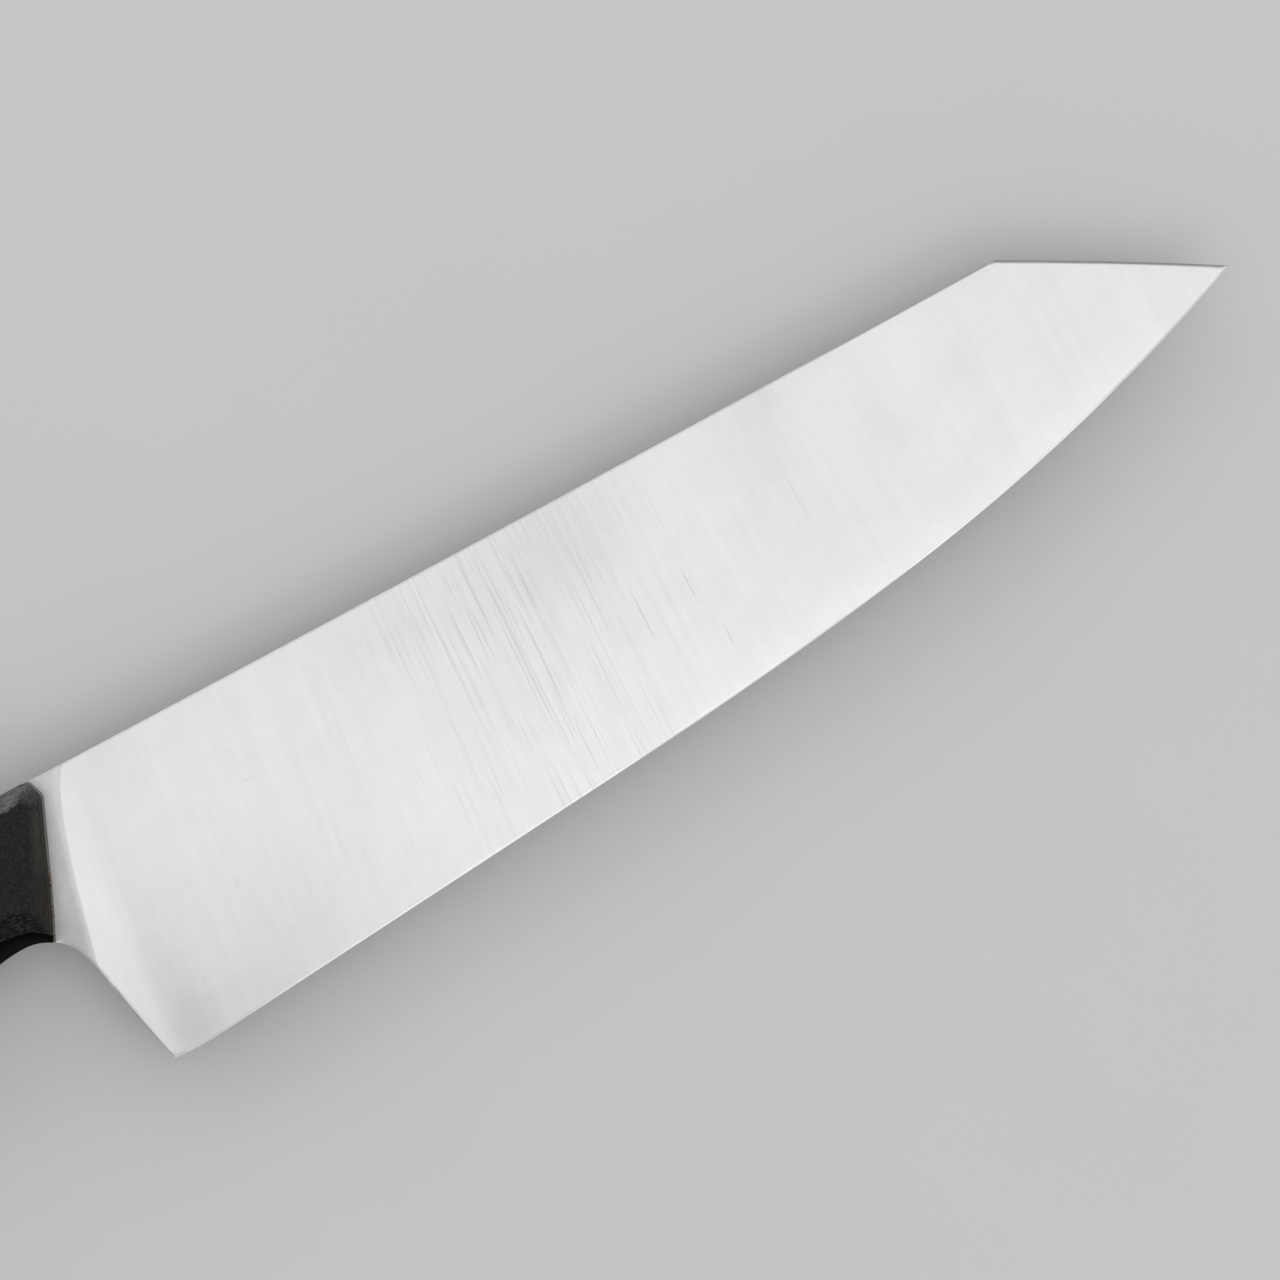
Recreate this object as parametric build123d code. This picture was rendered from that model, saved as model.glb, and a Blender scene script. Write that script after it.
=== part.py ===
"""Kiritsuke knife: a full-tang kitchen knife with a clipped tip and black laminate scales.

All sizes are in millimetres. The knife is drawn lying on its left side. X runs towards the tip,
Y towards the spine and Z out of the blade's right face. While it is drawn, the origin is where
the spine meets the front of the handle, in the middle of the steel's thickness. Each piece is
then moved so that the origin is under the middle of the whole knife, on the surface it lies on.
"""
from build123d import *
import os
from math import asin, cos, degrees, radians, sin, sqrt, tan

os.makedirs("parts", exist_ok=True)

# Blade, seen from the side: the clip is the slanted stretch between the spine and the tip
blade_length = 210.0
heel_height = 50.5
clip_length = 33.0
tip_drop = 18.75
spine_hollow = 0.36
clip_bulge = 0.25

# Cutting edge: a lifted heel, a straight stretch, and two arcs that bend up to the tip
heel_lift = 0.73
heel_round_length = 6.5
flat_angle = 4.85
flat_length_share = 0.43
belly_along_share = 0.417
belly_rise_share = 0.241

# Rear edge of the heel: up from its corner in a slight bow, then two arcs into the handle's underside
heel_back = 0.3
rear_bulge = 0.25
choil_radius = 36.0
finger_radius = 7.4
finger_turn = 69.0
finger_back = 12.5

# Steel: stock, flat grind that leans back from spine to edge, and sharpened edge
stock_thickness = 2.4
spine_skim = 0.02
edge_thickness = 0.2
edge_land = 0.03
bevel_angle = 15.0
plunge_foot = 7.3
plunge_slope = 0.10
plunge_radius = 50.0

# Handle, seen from the side: places along it are shares of its length
handle_length = 130.0
handle_front_height = 23.5
arch_radius = 22.0
arch_turn = 14.0
palm_share = 0.36
palm_swell = 4.5
waist_share = 0.70
waist_swell = 2.0
butt_share = 0.985
butt_swell = 5.5
top_straight_share = 0.55
butt_top_share = 0.975
butt_drop = 1.5
butt_top_radius = 8.0
butt_bottom_radius = 6.0

# Handle, across the steel
handle_thickness = 20.0
liner_thickness = 0.5
liner_reach = 0.42

# Scales: the slanted front line and the facets
front_lean = 23.8
front_foot = 4.4
top_facet = 2.7
front_corner_back = 0.19
front_corner_drop = 3.12
lower_facet_width = 5.8
lower_facet_angle = 30.0
under_facet_height = 2.9
under_facet_angle = 60.0
butt_facet = 2.0

# Handle bolts: a barrel from the right side and a screw from the left
bolt_rows = ["front", "middle", "rear"]
bolt_along_shares = [0.165, 0.50, 0.835]
bolt_down_shares = [0.42, 0.46, 0.47]
head_diameter = 6.4
head_depth = 3.2
shank_diameter = 4.8
stud_diameter = 3.0
end_gap = 0.6
bolt_clearance = 0.03

# How far a cutting shape runs past what it cuts
overrun = 4.0

half_stock = stock_thickness / 2
half_handle = handle_thickness / 2
liner_face = half_stock + liner_thickness
head_seat = half_handle - head_depth
ground_stock = half_stock - spine_skim
grind_fall = (ground_stock - edge_thickness / 2) / heel_height
palm_height = handle_front_height + palm_swell
waist_height = handle_front_height + waist_swell
butt_height = handle_front_height + butt_swell


def turned(degrees_below_x):
    """Unit direction in the side view that points forwards and down by the given angle."""
    angle = radians(degrees_below_x)
    return Vector(cos(angle), -sin(angle))


# Side view of the blade

spine_length = blade_length - clip_length
handle_top = Vector(0, 0)
clip_corner = Vector(spine_length, 0)
tip = Vector(blade_length, -tip_drop)
heel = Vector(-heel_back, -heel_height)

flat_length = blade_length * flat_length_share
flat_rise = flat_length * tan(radians(flat_angle))
flat_end = Vector(flat_length, flat_rise - heel_height - heel_lift)
flat_start = flat_end - (flat_length - heel_round_length) * Vector(1, tan(radians(flat_angle)))
belly = flat_end + Vector(
    belly_along_share * (tip.X - flat_end.X),
    belly_rise_share * (tip.Y - flat_end.Y),
)
flat = Line(flat_start, flat_end)
heel_round = TangentArc(flat_start, heel, tangent=-(flat % 0))
belly_arc = TangentArc(flat_end, belly, tangent=flat % 1)
tip_arc = TangentArc(belly, tip, tangent=belly_arc % 1)


def parallel_arc(start, heading, arc, inset, reach, side):
    """An arc about the given one's centre, inset towards it and run on by reach.

    Side is 1 where the centre lies to the left of the heading, and -1 where it lies to the right.
    """
    sweep = degrees((arc.length + reach) / arc.radius)
    return JernArc(start, heading, arc.radius - inset, side * sweep)


def edge_curve(inset, reach):
    """The cutting edge from heel to tip, moved inwards by inset, with both ends run on by reach."""
    inwards = inset * Vector(-(flat % 0).Y, (flat % 0).X)
    straight = Line(flat_start + inwards, flat_end + inwards)
    rear = parallel_arc(straight @ 0, -(flat % 0), heel_round, inset, reach, -1)
    middle = parallel_arc(straight @ 1, flat % 1, belly_arc, inset, 0, 1)
    front = parallel_arc(middle @ 1, middle % 1, tip_arc, inset, reach, 1)
    return [rear, straight, middle, front]


# Side view of the handle

underside_start = Vector(-finger_back, -handle_front_height)
finger_centre = underside_start - Vector(0, finger_radius)
finger_end = finger_centre + finger_radius * turned(finger_turn - 90.0)
choil_centre = finger_end - choil_radius * turned(finger_turn - 90.0)
centre_way = choil_centre - heel
choil_swing = degrees(asin(choil_radius / centre_way.length))
choil_heading = centre_way.normalized().rotate(Axis.Z, -choil_swing)
choil_start = heel + sqrt(centre_way.length ** 2 - choil_radius ** 2) * choil_heading
rear_middle = (heel + choil_start) / 2 + rear_bulge * choil_heading.rotate(Axis.Z, 90.0)
rear_arc = ThreePointArc(heel, rear_middle, choil_start)
choil_arc = TangentArc(choil_start, finger_end, tangent=rear_arc % 1)
finger_arc = TangentArc(finger_end, underside_start, tangent=choil_arc % 1)
arch_arc = JernArc(finger_arc @ 1, finger_arc % 1, arch_radius, arch_turn)

butt_low = Vector(-handle_length * butt_share, -butt_height)
butt_high = Vector(-handle_length * butt_top_share, -butt_drop)
butt_middle = Vector(-handle_length, (butt_low.Y + butt_high.Y) / 2)
underside = Spline(
    arch_arc @ 1,
    Vector(-handle_length * palm_share, -palm_height),
    Vector(-handle_length * waist_share, -waist_height),
    butt_low,
    tangents=[arch_arc % 1, turned(180.0 - arch_turn)],
)
butt_arc = ThreePointArc(butt_low, butt_middle, butt_high)
top_bend = Vector(-handle_length * top_straight_share, 0)
top_arc = TangentArc(top_bend, butt_high, tangent=Vector(-1, 0))
bolt_places = [
    Vector(-along * handle_length, -down * palm_height)
    for along, down in zip(bolt_along_shares, bolt_down_shares)
]


def front_point(depth, ahead):
    """Point at a depth below the handle's top on the scales' front line, or ahead of that line."""
    foot = underside_start + Vector(front_foot + ahead, 0)
    return Vector(foot.X - (foot.Y + depth) * tan(radians(front_lean)), -depth)


def rounded_butt(face):
    """The same face with its two corners at the butt rounded."""
    low_corner = face.vertices().sort_by_distance(butt_low)[0]
    face = fillet(low_corner, butt_bottom_radius)
    high_corner = face.vertices().sort_by_distance(butt_high)[0]
    return fillet(high_corner, butt_top_radius)


def knife_face():
    """Side view of the whole steel, from the butt to the tip."""
    spine = ThreePointArc(handle_top, Vector(spine_length / 2, -spine_hollow), clip_corner)
    clip_along = (tip - clip_corner).normalized()
    clip_middle = (clip_corner + tip) / 2 + clip_bulge * Vector(-clip_along.Y, clip_along.X)
    clip = ThreePointArc(clip_corner, clip_middle, tip)
    edge = [heel_round, flat, belly_arc, tip_arc]
    rear = [rear_arc, choil_arc, finger_arc, arch_arc, underside, butt_arc]
    top = [top_arc, Line(top_bend, handle_top)]
    return rounded_butt(make_face(Curve() + [spine, clip] + edge + rear + top))


def handle_side(ahead):
    """Side view of a scale with its top front corner cut off, or of one that reaches further ahead.

    Its butt is still square.
    """
    far = heel_height
    ahead_of_front = [Line(handle_top, Vector(far, 0)), Line(Vector(far, 0), choil_arc @ 0)]
    rear = [choil_arc, finger_arc, arch_arc, underside, butt_arc, top_arc, Line(top_bend, handle_top)]
    corner_start = Vector(ahead - front_corner_back, 0)
    front_line = [corner_start, front_point(front_corner_drop, ahead), front_point(heel_height, ahead)]
    beyond = [Vector(2 * far, -heel_height), Vector(2 * far, overrun), corner_start + Vector(0, overrun)]
    side = make_face(Curve() + ahead_of_front + rear)
    return side - make_face(Polyline(*front_line, *beyond, close=True))


# Steel

def slab(face, low, high):
    """A flat piece with the given side view, between two heights."""
    return extrude(Pos(0, 0, low) * face, amount=high - low, dir=(0, 0, 1))


def grind_floor(point):
    """Point of the grind, in line with the spine, that runs down to the edge at the given point."""
    depth = -point.Y
    return Vector(point.X + plunge_slope * depth, 0, edge_thickness / 2 + grind_fall * depth)


def parabola(start, heading, end):
    """A parabola in the section, from start to end, with the given direction at its start."""
    bend = start + (end.X - start.X) / 2 / heading.X * heading
    return Bezier(start, bend, end)


def grind_cutter():
    """What grinding takes off the right face.

    A section across the cutter, in the plane of X and Z, has a wall, a wide round corner that
    makes the plunge and then two long curves that taper the steel so that it is equally thin all along
    the edge. The section is carried from the spine towards the edge, back along the knife and
    down into the steel.
    """
    ceiling = ground_stock + plunge_radius + overrun
    wall_foot = Vector(plunge_foot - plunge_radius, 0, ground_stock + plunge_radius)
    floor_start = Vector(plunge_foot, 0, ground_stock)
    corner = TangentArc(wall_foot, floor_start, tangent=(0, 0, -1))
    rear_taper = parabola(floor_start, Vector(1, 0, 0), grind_floor(belly))
    front_taper = parabola(grind_floor(belly), rear_taper % 1, grind_floor(tip))
    past_tip = grind_floor(tip) + overrun * (front_taper % 1)
    ceiling_front = Vector(past_tip.X, 0, ceiling)
    ceiling_rear = Vector(wall_foot.X, 0, ceiling)
    walls = Polyline(front_taper @ 1, past_tip, ceiling_front, ceiling_rear, wall_foot)
    section = make_face(Curve() + [corner, rear_taper, front_taper, walls])
    carry = Vector(-plunge_slope, -1, -grind_fall)
    depths = (-overrun, heel_height + overrun)
    return loft([Pos(*(depth * carry)) * section for depth in depths], ruled=True)


def bevel_cutter():
    """What sharpening takes off the right face: all that lies outside a slope rising from the edge."""
    bottom = -heel_height - heel_lift - 3 * overrun
    corners = [Vector(blade_length + 3 * overrun, bottom), Vector(-3 * overrun, bottom)]
    sections = []
    for inset in (-overrun, overrun):
        curve = edge_curve(inset, overrun)
        outside = Polyline(curve[-1] @ 1, *corners, curve[0] @ 1)
        height = edge_land / 2 + inset * tan(radians(bevel_angle))
        sections.append(Pos(0, 0, height) * make_face(Curve() + curve + [outside]))
    return loft(sections, ruled=True)


def make_blade():
    """Blade and tang: the outline in stock, ground and sharpened on both sides, with its bolt holes."""
    steel = slab(knife_face(), -half_stock, half_stock)
    for cutter in (bevel_cutter(), grind_cutter()):
        steel -= cutter
        steel -= mirror(cutter, about=Plane.XY)
    for place in bolt_places:
        steel -= shank_hole(place, -half_stock, half_stock)
    return steel


# Handle bolts

def round_bar(place, diameter, low, high):
    """A cylinder across the handle, between two heights."""
    return Pos(place.X, place.Y, low) * extrude(Circle(diameter / 2), amount=high - low)


def make_barrel(place):
    """Barrel half of a bolt: head in the right scale, bored shank down to near the screw's head."""
    head = round_bar(place, head_diameter, head_seat, half_handle)
    shank = round_bar(place, shank_diameter, end_gap - head_seat, head_seat)
    bore = round_bar(place, stud_diameter + 2 * bolt_clearance, -head_seat, head_seat)
    return head + shank - bore


def make_screw(place):
    """Screw half of a bolt: head in the left scale, stud up into the barrel."""
    head = round_bar(place, head_diameter, -half_handle, -head_seat)
    stud = round_bar(place, stud_diameter, -head_seat, head_seat - end_gap)
    return head + stud


def shank_hole(place, low, high):
    """Clearance hole for a bolt's shank."""
    return round_bar(place, shank_diameter + 2 * bolt_clearance, low, high)


def head_hole(place):
    """Counterbore for a bolt's head in the right scale."""
    return round_bar(place, head_diameter + 2 * bolt_clearance, head_seat, half_handle)


# Scales and liners

def rim(solid, height, test):
    """Edges of a solid whose middles lie at one height and pass a test."""
    level = solid.edges().filter_by(lambda edge: round(edge.center().Z - height, 3) == 0)
    return level.filter_by(lambda edge: test(edge.center()))


def facet_cutter(foot_height, angle):
    """What a facet along the underside takes off, above a slope that rises from a height there.

    The space below the underside is carried straight up the side as it rises, so the facet
    narrows to nothing where the underside turns down at the front.
    """
    beyond = butt_low - Vector(overrun, 0)
    bottom = -heel_height - overrun
    outside = Polyline(butt_low, beyond, Vector(beyond.X, bottom), Vector(heel.X, bottom), heel)
    rear = [rear_arc, choil_arc, finger_arc, arch_arc, underside]
    below = make_face(Curve() + rear + [outside])
    sections = []
    for inset in (-overrun, lower_facet_width + overrun):
        sections.append(Pos(0, inset, foot_height + inset * tan(radians(angle))) * below)
    return loft(sections, ruled=True)


def make_right_scale():
    """Scale on the right side, with facets along its top and front, its butt and its underside."""
    scale = slab(handle_side(0), liner_face, half_handle)
    lower_foot = half_handle - lower_facet_width * tan(radians(lower_facet_angle))
    facet_line = lower_facet_width - handle_front_height
    top_and_front = rim(scale, half_handle, lambda c: c.Y > facet_line and c.X > butt_high.X)
    scale = chamfer(top_and_front, top_facet)
    scale = chamfer(rim(scale, half_handle, lambda c: c.X < butt_high.X), butt_facet)
    scale -= facet_cutter(lower_foot, lower_facet_angle)
    scale -= facet_cutter(lower_foot - under_facet_height, under_facet_angle)
    scale &= slab(knife_face(), liner_face, half_handle)
    for place in bolt_places:
        scale -= shank_hole(place, liner_face, half_handle) + head_hole(place)
    return scale


def make_right_liner():
    """Fibre liner between the right scale and the tang, which shows as a line at the scale's front."""
    liner = slab(handle_side(liner_reach), half_stock, liner_face)
    liner &= slab(knife_face(), half_stock, liner_face)
    for place in bolt_places:
        liner -= shank_hole(place, half_stock, liner_face)
    return liner


right_scale = make_right_scale()
right_liner = make_right_liner()
pieces = {
    "blade": make_blade(),
    "right_scale": right_scale,
    "left_scale": mirror(right_scale, about=Plane.XY),
    "right_liner": right_liner,
    "left_liner": mirror(right_liner, about=Plane.XY),
}
for row, place in zip(bolt_rows, bolt_places):
    pieces[f"{row}_bolt_barrel"] = make_barrel(place)
    pieces[f"{row}_bolt_screw"] = make_screw(place)

# The knife lies on its left scale, with the origin under the middle of the whole

whole = Compound(list(pieces.values())).bounding_box()
moved = Pos(-whole.center().X, -whole.center().Y, -whole.min.Z)
print("origin moved by", tuple(round(value, 4) for value in moved.position))
for name, piece in pieces.items():
    export_step(moved * piece, f"parts/{name}.step")
    print(name, "solids", len(piece.solids()), "volume", round(piece.volume, 1))
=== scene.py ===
"""Kiritsuke knife lying on a pale table, seen square on to the right face of its blade.

Shapes are worked out in millimetres in the knife's own drawing: X runs towards the tip, Y towards
the spine and Z out of the right face, from the point where the spine meets the handle's front, in
the middle of the steel. Meshes are written in metres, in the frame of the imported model.
"""
from math import radians

import bmesh
import bpy
import numpy as np
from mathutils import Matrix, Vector


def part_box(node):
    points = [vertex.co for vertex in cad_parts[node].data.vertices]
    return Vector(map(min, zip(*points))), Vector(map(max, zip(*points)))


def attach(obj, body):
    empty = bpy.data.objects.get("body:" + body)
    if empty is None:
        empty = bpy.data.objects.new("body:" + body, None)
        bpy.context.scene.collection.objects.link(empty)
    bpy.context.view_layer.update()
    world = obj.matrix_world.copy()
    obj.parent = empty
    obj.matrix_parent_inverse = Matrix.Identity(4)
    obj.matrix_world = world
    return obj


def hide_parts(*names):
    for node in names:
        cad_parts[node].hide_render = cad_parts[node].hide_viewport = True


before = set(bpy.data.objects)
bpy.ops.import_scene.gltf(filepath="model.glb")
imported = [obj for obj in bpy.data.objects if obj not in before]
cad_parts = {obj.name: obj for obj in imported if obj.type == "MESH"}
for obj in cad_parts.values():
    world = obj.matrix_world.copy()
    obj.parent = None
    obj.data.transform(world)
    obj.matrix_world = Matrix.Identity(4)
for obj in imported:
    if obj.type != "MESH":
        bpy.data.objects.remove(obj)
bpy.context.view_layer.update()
steel_low, steel_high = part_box("blade")

# Blade, in millimetres
BLADE_LENGTH = 210.0
SPINE_LENGTH = 177.0
TIP_DROP = 18.75
SPINE_HOLLOW = 0.36
CLIP_BULGE = 0.25
HEEL_HEIGHT = 50.5
FLAT_START = np.array([6.5, -50.6785])
FLAT_END = np.array([90.3, -43.5679])
BELLY = np.array([140.2149, -37.5868])
TIP = np.array([BLADE_LENGTH, -TIP_DROP])

# Circles of the outline: centre along, centre up and radius
HEEL_ROUND = (3.9014, -20.0533, 30.7352)
BELLY_ROUND = (28.8828, 680.2543, 726.4233)
TIP_ROUND = (89.6556, 288.4067, 329.8909)
REAR = (146.5235, -9.4164, 152.4631)
CHOIL = (-24.2861, -36.6818, 20.5089)
FINGER = (-12.9629, -31.5735, 8.0868)
ARCH = (-13.7594, -45.4639, 22.0)
BUTT = (-92.2606, -16.9111, 37.776)
BUTT_LOW = (-123.650, -21.853, 6.0)
BUTT_HIGH = (-121.025, -9.215, 8.0)
TOP_BEND = (-71.5, -1018.2708, 1018.2708)

# Thickness of the steel and shape of the grind
HALF_STOCK = 1.2
GROUND_STOCK = 1.18
EDGE_HALF = 0.1
EDGE_LAND = 0.015
BEVEL_SLOPE = float(np.tan(radians(15.0)))
GRIND_FALL = (GROUND_STOCK - EDGE_HALF) / HEEL_HEIGHT
PLUNGE_FOOT = 7.3
PLUNGE_SLOPE = 0.10
PLUNGE_RADIUS = 50.0
SPINE_EASE = 0.28
CLIP_EASE = 0.42
HEEL_EASE = 0.5

# Handle
HALF_HANDLE = 10.0
LINER_FACE = 1.7
FRONT_FOOT = np.array([-8.1, -23.5])
FRONT_LEAN = float(np.tan(radians(23.8)))
CORNER_BACK = 0.19
CORNER_DROP = 3.12
LINER_SHOWS = 0.42
TOP_FACET = 2.7
BUTT_FACET = 2.0
LOWER_FACET = 5.8
LOWER_SLOPE = float(np.tan(radians(30.0)))
UNDER_SLOPE = float(np.tan(radians(60.0)))
UNDER_HEIGHT = 2.9
BOLTS = [(-21.45, -11.76), (-65.0, -12.88), (-108.55, -13.16)]
HEAD_RADIUS = 3.2
HEAD_DEPTH = 3.2
SHANK_RADIUS = 2.4
STUD_RADIUS = 1.5
BOLT_GAP = 0.03
END_GAP = 0.6
HEAD_CROWN = 0.015
HEAD_EASE = 0.1
STUD_EASE = 0.3
HOLE_MARGIN = 1.3
PATCH_SHARES = (0.25, 0.5, 0.75, 1.0)

# Front line of the scales: depth of its middle, and how far its lower half stands ahead and falls back
FRONT_MIDDLE = 12.5
FRONT_AHEAD = 0.22
FRONT_BACK = 0.12

# How softly each facet of a scale blends into the next, and the round of the scale's outline
FACET_SOFTNESS = {"top": 0.55, "corner": 0.45, "front": 0.55, "butt": 0.5, "lower": 0.6, "under": 0.6}
SCALE_EASE = 0.12

# Facets that each mask covers: the worn top, painted lighter partly as painted light, the front, and the
# lower and underside facets, which carry painted shade
FACETS_OF_EACH_MASK = {
    "top": ["top", "butt", "corner"],
    "front": ["front"],
    "lower": ["lower", "under"],
    "under": ["under"],
}

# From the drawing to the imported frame
DATUM = np.array([
    steel_high.x * 1000 - BLADE_LENGTH,
    steel_high.y * 1000,
    (steel_low.z + steel_high.z) * 500,
])


# Curves of the side view

def on_circle(circle, start, end, count):
    """Points on a circle between two of its points, the short way round, evenly spaced by angle."""
    centre = np.array(circle[:2])
    first, last = (np.arctan2(*(np.asarray(p) - centre)[::-1]) for p in (start, end))
    turn = (last - first + np.pi) % (2 * np.pi) - np.pi
    angle = first + turn * np.linspace(0, 1, count)
    return centre + circle[2] * np.column_stack([np.cos(angle), np.sin(angle)])


def on_line(start, end, count):
    """Points on a straight line, evenly spaced."""
    share = np.linspace(0, 1, count)[:, None]
    return np.asarray(start) * (1 - share) + np.asarray(end) * share


def underside_curve(count):
    """The handle's underside from its arch to its butt.

    A cubic through four points, smooth to the second derivative, whose parameter is the distance
    along the chords and whose two end directions are given.
    """
    points = np.array([[-17.8510, -23.8478], [-46.8, -28.0], [-91.0, -25.5], [-128.05, -29.0]])
    chord = np.linalg.norm(np.diff(points, axis=0), axis=1)
    run = np.diff(points, axis=0) / chord[:, None]
    slopes = np.array([[-1.01523, -0.19217], [0, 0], [0, 0], [-1.11186, -0.27722]])
    inner = [[2 * (chord[0] + chord[1]), chord[0]], [chord[2], 2 * (chord[1] + chord[2])]]
    right = [
        3 * (chord[1] * run[0] + chord[0] * run[1]) - chord[1] * slopes[0],
        3 * (chord[2] * run[1] + chord[1] * run[2]) - chord[1] * slopes[3],
    ]
    slopes[1:3] = np.linalg.solve(inner, right)
    t = np.linspace(0, 1, count)[:, None]
    spans = []
    for k in range(3):
        a, b = points[k], points[k + 1]
        da, db = chord[k] * slopes[k], chord[k] * slopes[k + 1]
        spans.append(a + t * da + t * t * (3 * (b - a) - 2 * da - db) + t ** 3 * (2 * (a - b) + da + db))
    return joined(spans)


def joined(runs):
    """Several runs of points end to end, without the doubled points where they meet."""
    line = np.concatenate(runs)
    apart = np.r_[True, np.linalg.norm(np.diff(line, axis=0), axis=1) > 1e-6]
    return line[apart]


def along(line, marks, counts):
    """Points along a line of points, evenly spaced between marked points on it.

    Each mark is a point of the line or near it, and each count the number of steps to the next.
    """
    length = np.r_[0, np.cumsum(np.linalg.norm(np.diff(line, axis=0), axis=1))]
    stops = [length[np.argmin(np.linalg.norm(line - np.asarray(mark), axis=1))] for mark in marks]
    spots = [np.linspace(a, b, n, endpoint=False) for a, b, n in zip(stops, stops[1:], counts)]
    spots = np.r_[np.concatenate(spots), stops[-1]]
    return np.column_stack([np.interp(spots, length, line[:, k]) for k in (0, 1)])


# Meshes

def piece(name, points, faces, sharp_angle=None):
    """A closed mesh object at the origin, from points in millimetres and faces by corner number.

    Coincident points are merged, which also turns the squeezed cells at a pole into triangles.
    """
    mesh = bpy.data.meshes.new(name)
    mesh.from_pydata(((points + DATUM) * 0.001).tolist(), [], faces.tolist())
    mesh.validate(clean_customdata=False)
    shape = bmesh.new()
    shape.from_mesh(mesh)
    loose = [v for v in shape.verts if not v.link_faces]
    bmesh.ops.delete(shape, geom=loose, context="VERTS")
    bmesh.ops.remove_doubles(shape, verts=shape.verts, dist=1e-7)
    shape.to_mesh(mesh)
    shape.free()
    mesh.shade_smooth()
    if sharp_angle is not None:
        mesh.set_sharp_from_angle(angle=radians(sharp_angle))
    made = bpy.data.objects.new(name, mesh)
    bpy.context.scene.collection.objects.link(made)
    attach(made, "root")
    return made


def grid_faces(rows, flip=False):
    """Four-cornered faces between neighbouring rows of corner numbers, facing up unless flipped."""
    a, b, c, d = rows[:-1, :-1], rows[1:, :-1], rows[1:, 1:], rows[:-1, 1:]
    quads = np.stack([a, b, c, d], -1).reshape(-1, 4)
    return quads[:, ::-1] if flip else quads


def hole_block(places, centre, reach):
    """The block of grid cells round a hole: first and last column, first and last row."""
    near = np.abs(places - np.asarray(centre)).max(-1) < reach
    columns = np.flatnonzero(near.any(1))
    rows = np.flatnonzero(near.any(0))
    return columns[0], columns[-1], rows[0], rows[-1]


def block_loop(block, numbers):
    """Corner numbers round a block, anticlockwise when seen with the grid's columns running along X."""
    i0, i1, j0, j1 = block
    low, right = numbers[i0:i1, j0], numbers[i1, j0:j1]
    high, left = numbers[i1:i0:-1, j1], numbers[i0, j1:j0:-1]
    return np.concatenate([low, right, high, left])


def plate(name, places, top, bottom, holes=(), sharp_angle=30.0):
    """A closed plate whose side view is a grid of places and whose two faces are given as heights.

    The grid runs from one pole of the outline to the other, with its rows from the lower edge to
    the upper one. Upright walls join the two faces round the outline. A hole is a centre and the
    radii and heights of the rings that line it from the top face to the bottom one: its block of
    cells gives way to a ring patch, in which points run straight from the block to the circle.
    """
    count = places.shape[0] * places.shape[1]
    flat = places.reshape(-1, 2)
    points = [np.column_stack([flat, top(flat)]), np.column_stack([flat, bottom(flat)])]
    upper = np.arange(count).reshape(places.shape[:2])
    lower = upper + count
    stays = np.ones((places.shape[0] - 1, places.shape[1] - 1), bool)
    total = 2 * count
    faces = []
    for centre, rings in holes:
        block = hole_block(places, centre, rings[0][0] + HOLE_MARGIN)
        stays[block[0]:block[1], block[2]:block[3]] = False
        rim = block_loop(block, upper)
        away = flat[rim] - np.asarray(centre)
        round_way = away / np.linalg.norm(away, axis=1)[:, None]
        for surface, field, ring in ((upper, top, rings[0]), (lower, bottom, rings[-1])):
            layers = [block_loop(block, surface)]
            for share in PATCH_SHARES:
                spots = np.asarray(centre) + (1 - share) * away + share * ring[0] * round_way
                points.append(np.column_stack([spots, field(spots)]))
                layers.append(total + np.arange(len(spots)))
                total += len(spots)
            layers = np.array(layers)
            closed = np.column_stack([layers, layers[:, :1]])
            faces.append(grid_faces(closed, flip=surface is upper))
            if surface is upper:
                lining = [layers[-1]]
            else:
                foot = layers[-1]
        for radius, height in rings[1:-1]:
            spots = np.asarray(centre) + radius * round_way
            points.append(np.column_stack([spots, np.full(len(spots), height)]))
            lining.append(total + np.arange(len(spots)))
            total += len(spots)
        lining = np.array(lining + [foot])
        faces.append(grid_faces(np.column_stack([lining, lining[:, :1]]), flip=True))
    faces.append(grid_faces(upper)[stays.reshape(-1)])
    faces.append(grid_faces(lower, flip=True)[stays.reshape(-1)])
    faces.append(grid_faces(np.stack([lower[:, 0], upper[:, 0]], 1), flip=False))
    faces.append(grid_faces(np.stack([upper[:, -1], lower[:, -1]], 1), flip=False))
    return piece(name, np.concatenate(points), np.concatenate(faces), sharp_angle)


def turned(name, profile, centre, flip=False, segments=72):
    """A profile of radii and heights carried round an upright axis, closed at both poles."""
    radius, height = np.array(profile, float).T
    angle = np.linspace(0, 2 * np.pi, segments + 1)
    x = centre[0] + np.outer(np.cos(angle), radius)
    y = centre[1] + np.outer(np.sin(angle), radius)
    z = np.broadcast_to(height, x.shape)
    points = np.stack([x, y, z], -1).reshape(-1, 3)
    faces = grid_faces(np.arange(len(points)).reshape(x.shape), flip)
    return piece(name, points, faces, 40.0)


# Steel

# Soft patches on the blade: middle, reach along and across, turn and depth of tone
BLADE_PATCHES = [
    ((76, -7), (22, 8), 0, -0.050),
    ((80, -20), (16, 7), 25, -0.030),
    ((97, -9), (6, 9), 0, -0.030),
    ((101, -22), (8, 6), 30, -0.022),
    ((131, -7), (5, 12), 8, -0.055),
    ((134, -1), (3, 4), 0, -0.060),
    ((123, -20), (9, 14), 0, -0.025),
    ((149, -16), (5, 5), 0, -0.030),
    ((163, -12), (7, 3), 10, -0.030),
    ((156, -31), (6, 4), 0, -0.030),
    ((180, -17), (5, 5), 0, -0.018),
    ((30, -8), (14, 9), 0, 0.018),
    ((114, -6), (5, 12), 0, 0.025),
    ((158, -5), (14, 5), 0, 0.030),
    ((88, -36), (20, 6), 5, 0.022),
    ((60, -34), (16, 7), 0, 0.014),
    ((94, -6), (12, 9), 0, -0.050),
    ((138, -27), (12, 7), 0, -0.025),
]

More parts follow.
